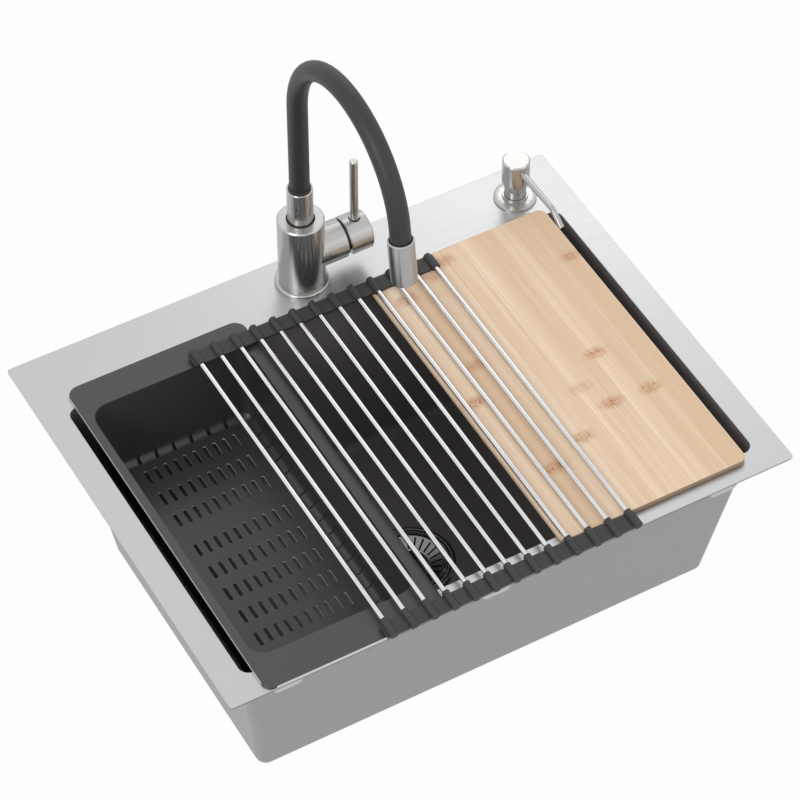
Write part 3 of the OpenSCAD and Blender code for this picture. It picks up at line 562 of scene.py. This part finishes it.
for face in tub_mesh.faces:
    if in_slot(face) or on_outer_edge(face):
        face.material_index = 1
colander_finishes = [FINISH["colander_steel"], PALE_EDGE_HIGHLIGHT]
tub_body = NODES["colander"]["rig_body"]
colander = made(
    "colander_tub", tub_mesh, tub_body, "colander_steel", colander_finishes, sharp=30
)
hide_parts("colander")

# Board: softened edges, and sawn ends darkened partly as painted shade
board_mesh = copied("cutting_board")
rounded(board_mesh, 1.1 * MM, 3)
# painted shade: the sawn front and back ends take the darker end-grain finish
for face in board_mesh.faces:
    if abs(face.normal.y) > 0.7:
        face.material_index = 1
board_finishes = [FINISH["bamboo"], END_GRAIN_SHADE]
board = made("board_slab", board_mesh, NODES["cutting_board"]["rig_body"], "bamboo", board_finishes)
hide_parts("cutting_board")

# Solids whose sharp edges are only rounded: the copy's name, the radius in mm and its steps
ROUNDED = {
    "rim_brackets": ("clip_brackets", 0.3, 2),
    "drain_locknut": ("locknut_ring", 0.9, 2),
    "drain_slip_nut": ("slip_nut_ring", 0.9, 2),
    "faucet_nut": ("tap_nut", 0.8, 2),
    "soap_nut": ("pump_nut", 0.8, 2),
    "faucet_washer": ("tap_washer", 0.4, 2),
    "spout_hose": ("spout_tube", 0.4, 2),
    "rim_gasket": ("foam_strip", 0.3, 2),
    "stopper_seal": ("stopper_disc", 0.5, 3),
    "drain_gasket": ("bowl_washer", 0.5, 3),
    "faucet_base_ring": ("tap_foot", 0.4, 2),
    "soap_flange": ("pump_foot", 0.3, 2),
}
for node, (name, radius, steps) in ROUNDED.items():
    worked(node, name, radius * MM, steps)


def rack_link(k):
    """A link's copy: sides that meet the next links stay square, so the strip looks whole."""
    node = f"rack_end_{k:02d}"
    low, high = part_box(node)
    joined = [low.x] * (k > 1) + [high.x] * (k < RODS)

    def loose(point):
        return all(abs(point.x - side) > 0.5 * MM for side in joined)

    mesh = copied(node)
    rounded(mesh, 0.55 * MM, 3, pick=loose)
    for vertex in mesh.verts:
        for side in joined:
            if abs(vertex.co.x - side) < 0.05 * MM:
                vertex.co.x += 0.1 * MM if side == high.x else -0.1 * MM
    link = made(f"rack_link_{k:02d}", mesh, NODES[node]["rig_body"], "link_silicone")
    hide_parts(node)


for k in range(1, RODS + 1):
    rack_link(k)
    worked(f"rack_rod_{k:02d}", f"rack_bar_{k:02d}", 0.4 * MM, 2)


def axis_of(node):
    low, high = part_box(node)
    return (low.x + high.x) / 2, (low.y + high.y) / 2


shank_low, shank_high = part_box("faucet_shank")
shank_r = (shank_high.x - shank_low.x) / 2
pump_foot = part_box("soap_flange")[0].z
strainer_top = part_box("strainer_body")[1].z

# Screw threads: node, radius, lowest and highest point, pitch and depth
THREADS = {
    "tap_thread": ("faucet_shank", shank_r, shank_low.z + 1 * MM, -12 * MM, 2 * MM, 0.5 * MM),
    "pump_thread": ("soap_flange", 14.8 * MM, pump_foot + 13 * MM, -8 * MM, 2 * MM, 0.4 * MM),
    "strainer_thread": (
        "strainer_body",
        43.5 * MM,
        strainer_top - 31 * MM,
        strainer_top - 5 * MM,
        2.4 * MM,
        0.5 * MM,
    ),
}
for name, (node, *sizes) in THREADS.items():
    thread(name, node, axis_of(node), *sizes)


def seal(name, node, centre, axis, radius, thick):
    """A round black ring standing for the shade in a gap between parts (painted shade): a small
    circle spun once about an axis through centre.
    """
    axis = Vector(axis).normalized()
    side = axis.orthogonal().normalized()
    mesh = bmesh.new()
    turns = [tau * k / 12 for k in range(12)]
    corners = [
        mesh.verts.new(Vector(centre) + side * (radius + thick * cos(a)) + axis * (thick * sin(a)))
        for a in turns
    ]
    rim = [mesh.edges.new((corners[k - 1], corners[k])) for k in range(12)]
    bmesh.ops.spin(
        mesh,
        geom=[*corners, *rim],
        cent=centre,
        axis=axis,
        dvec=(0, 0, 0),
        angle=tau,
        steps=48,
        use_merge=True,
    )
    bmesh.ops.recalc_face_normals(mesh, faces=mesh.faces)
    made(name, mesh, NODES[node]["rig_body"], "black_rubber", sharp=60)


# Black rings as painted shade in the gaps at the lever's foot, round the collar and where the hose
# enters the nozzle
SUNK = 0.1 * MM
cap_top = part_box("lever_cap")[1].z
lever_foot = Vector((*axis_of("lever_rod"), cap_top - SUNK))
seal("lever_gap_shade", "lever_rod", lever_foot, (0, 0, 1), 6.5 * MM, 0.75 * MM)

body_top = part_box("faucet_body")[1].z
collar_r = 15.25 * MM
collar_foot = Vector((*axis_of("faucet_shank"), body_top - SUNK))
seal("collar_gap_shade", "faucet_body", collar_foot, (0, 0, 1), collar_r + 1 * MM, 0.9 * MM)

TILT = radians(8.4)
upward = Vector((0, sin(TILT), cos(TILT)))
nozzle_low, nozzle_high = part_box("spray_nozzle")
nozzle_r = (nozzle_high.x - nozzle_low.x) / 2
nozzle_l = (nozzle_high.z - nozzle_low.z - 2 * nozzle_r * sin(TILT)) / cos(TILT)
nozzle_top = (nozzle_low + nozzle_high) / 2 + upward * (nozzle_l / 2)
seal("nozzle_gap_shade", "spray_nozzle", nozzle_top, upward, 12.8 * MM, 0.8 * MM)


# ---------------------------------------------------------------- studio


def softbox(name, place, aim, width, power):
    lamp = bpy.data.lights.new(name, "AREA")
    lamp.shape = "DISK"
    lamp.size = width
    lamp.energy = power
    holder = bpy.data.objects.new(name, lamp)
    holder.location = place
    holder.rotation_euler = (Vector(aim) - Vector(place)).to_track_quat("-Z", "Y").to_euler()
    bpy.context.scene.collection.objects.link(holder)


MIDDLE = Vector((0.01327, 0.0149, 0.0035))
AZIMUTH, ELEVATION = radians(-29.45), radians(48.73)
DISTANCE = 4.18452

camera_data = bpy.data.cameras.new("camera")
camera_data.lens = 166.27
camera_data.sensor_width = 36.0
camera_data.clip_start, camera_data.clip_end = 0.1, 60.0
camera = bpy.data.objects.new("camera", camera_data)
back = Vector(
    (sin(AZIMUTH) * cos(ELEVATION), -cos(AZIMUTH) * cos(ELEVATION), sin(ELEVATION))
)
camera.location = MIDDLE + back * DISTANCE
camera.rotation_mode = "QUATERNION"
camera.rotation_quaternion = (-back).to_track_quat("-Z", "Y")
bpy.context.scene.collection.objects.link(camera)
bpy.context.scene.camera = camera

# Where each lamp stands and aims, its width and its watts
SOFTBOXES = {
    "key_softbox": ((-2.65, -1.15, 2.1), (0, 0, 0), 1.4, 26),
    "fill_softbox": ((1.9, -2.0, 1.5), (0, 0, -0.1), 1.8, 4),
    "back_softbox": ((1.35, 1.9, 1.9), (0.2, 0.1, 0), 0.9, 3),
}
for name, lamp_plan in SOFTBOXES.items():
    softbox(name, *lamp_plan)

floor_mesh = bmesh.new()
bmesh.ops.create_grid(floor_mesh, x_segments=1, y_segments=1, size=12.0)
bmesh.ops.translate(floor_mesh, verts=floor_mesh.verts, vec=(0, 0, -0.9))
floor_data = bpy.data.meshes.new("floor")
floor_mesh.to_mesh(floor_data)
floor_mesh.free()
floor = bpy.data.objects.new("floor", floor_data)
bpy.context.scene.collection.objects.link(floor)
floor_material = bpy.data.materials.new("studio_floor")
floor_material.use_nodes = True
floor_graph = Graph(floor_material.node_tree)
floor_paint = floor_material.node_tree.nodes["Principled BSDF"]
floor_paint.inputs["Base Color"].default_value = (0.86, 0.86, 0.86, 1.0)
floor_paint.inputs["Roughness"].default_value = 0.9
floor_paint.inputs["Specular IOR Level"].default_value = 0.0
floor_rays = floor_graph.add("LightPath")
floor_glow = floor_graph.add("Emission", {"Color": (1, 1, 1, 1), "Strength": 1.0})
floor_seen = Value(floor_graph, floor_rays.outputs["Is Camera Ray"]) * 0.93
paint, glow = floor_paint.outputs["BSDF"], floor_glow.outputs["Emission"]
floor_mix = floor_graph.add("MixShader", {0: floor_seen, 1: paint, 2: glow})
floor_surface = floor_material.node_tree.nodes["Material Output"].inputs["Surface"]
floor_graph.feed(floor_surface, floor_mix.outputs["Shader"])
floor_data.materials.append(floor_material)

world = bpy.data.worlds.new("studio")
bpy.context.scene.world = world
world.use_nodes = True
sky = Graph(world.node_tree)
rays = sky.add("LightPath")
seen = Value(sky, rays.outputs["Is Camera Ray"])
for kind in ("Is Glossy Ray", "Is Transmission Ray"):
    seen = seen.most(Value(sky, rays.outputs[kind]))
AMBIENT = 0.85
white = world.node_tree.nodes["Background"].inputs
sky.feed(white["Strength"], AMBIENT + seen * (1.0 - AMBIENT))
sky.feed(white["Color"], (1.0, 1.0, 1.0, 1.0))

bpy.context.scene.view_settings.view_transform = "Standard"

bpy.context.view_layer.update()
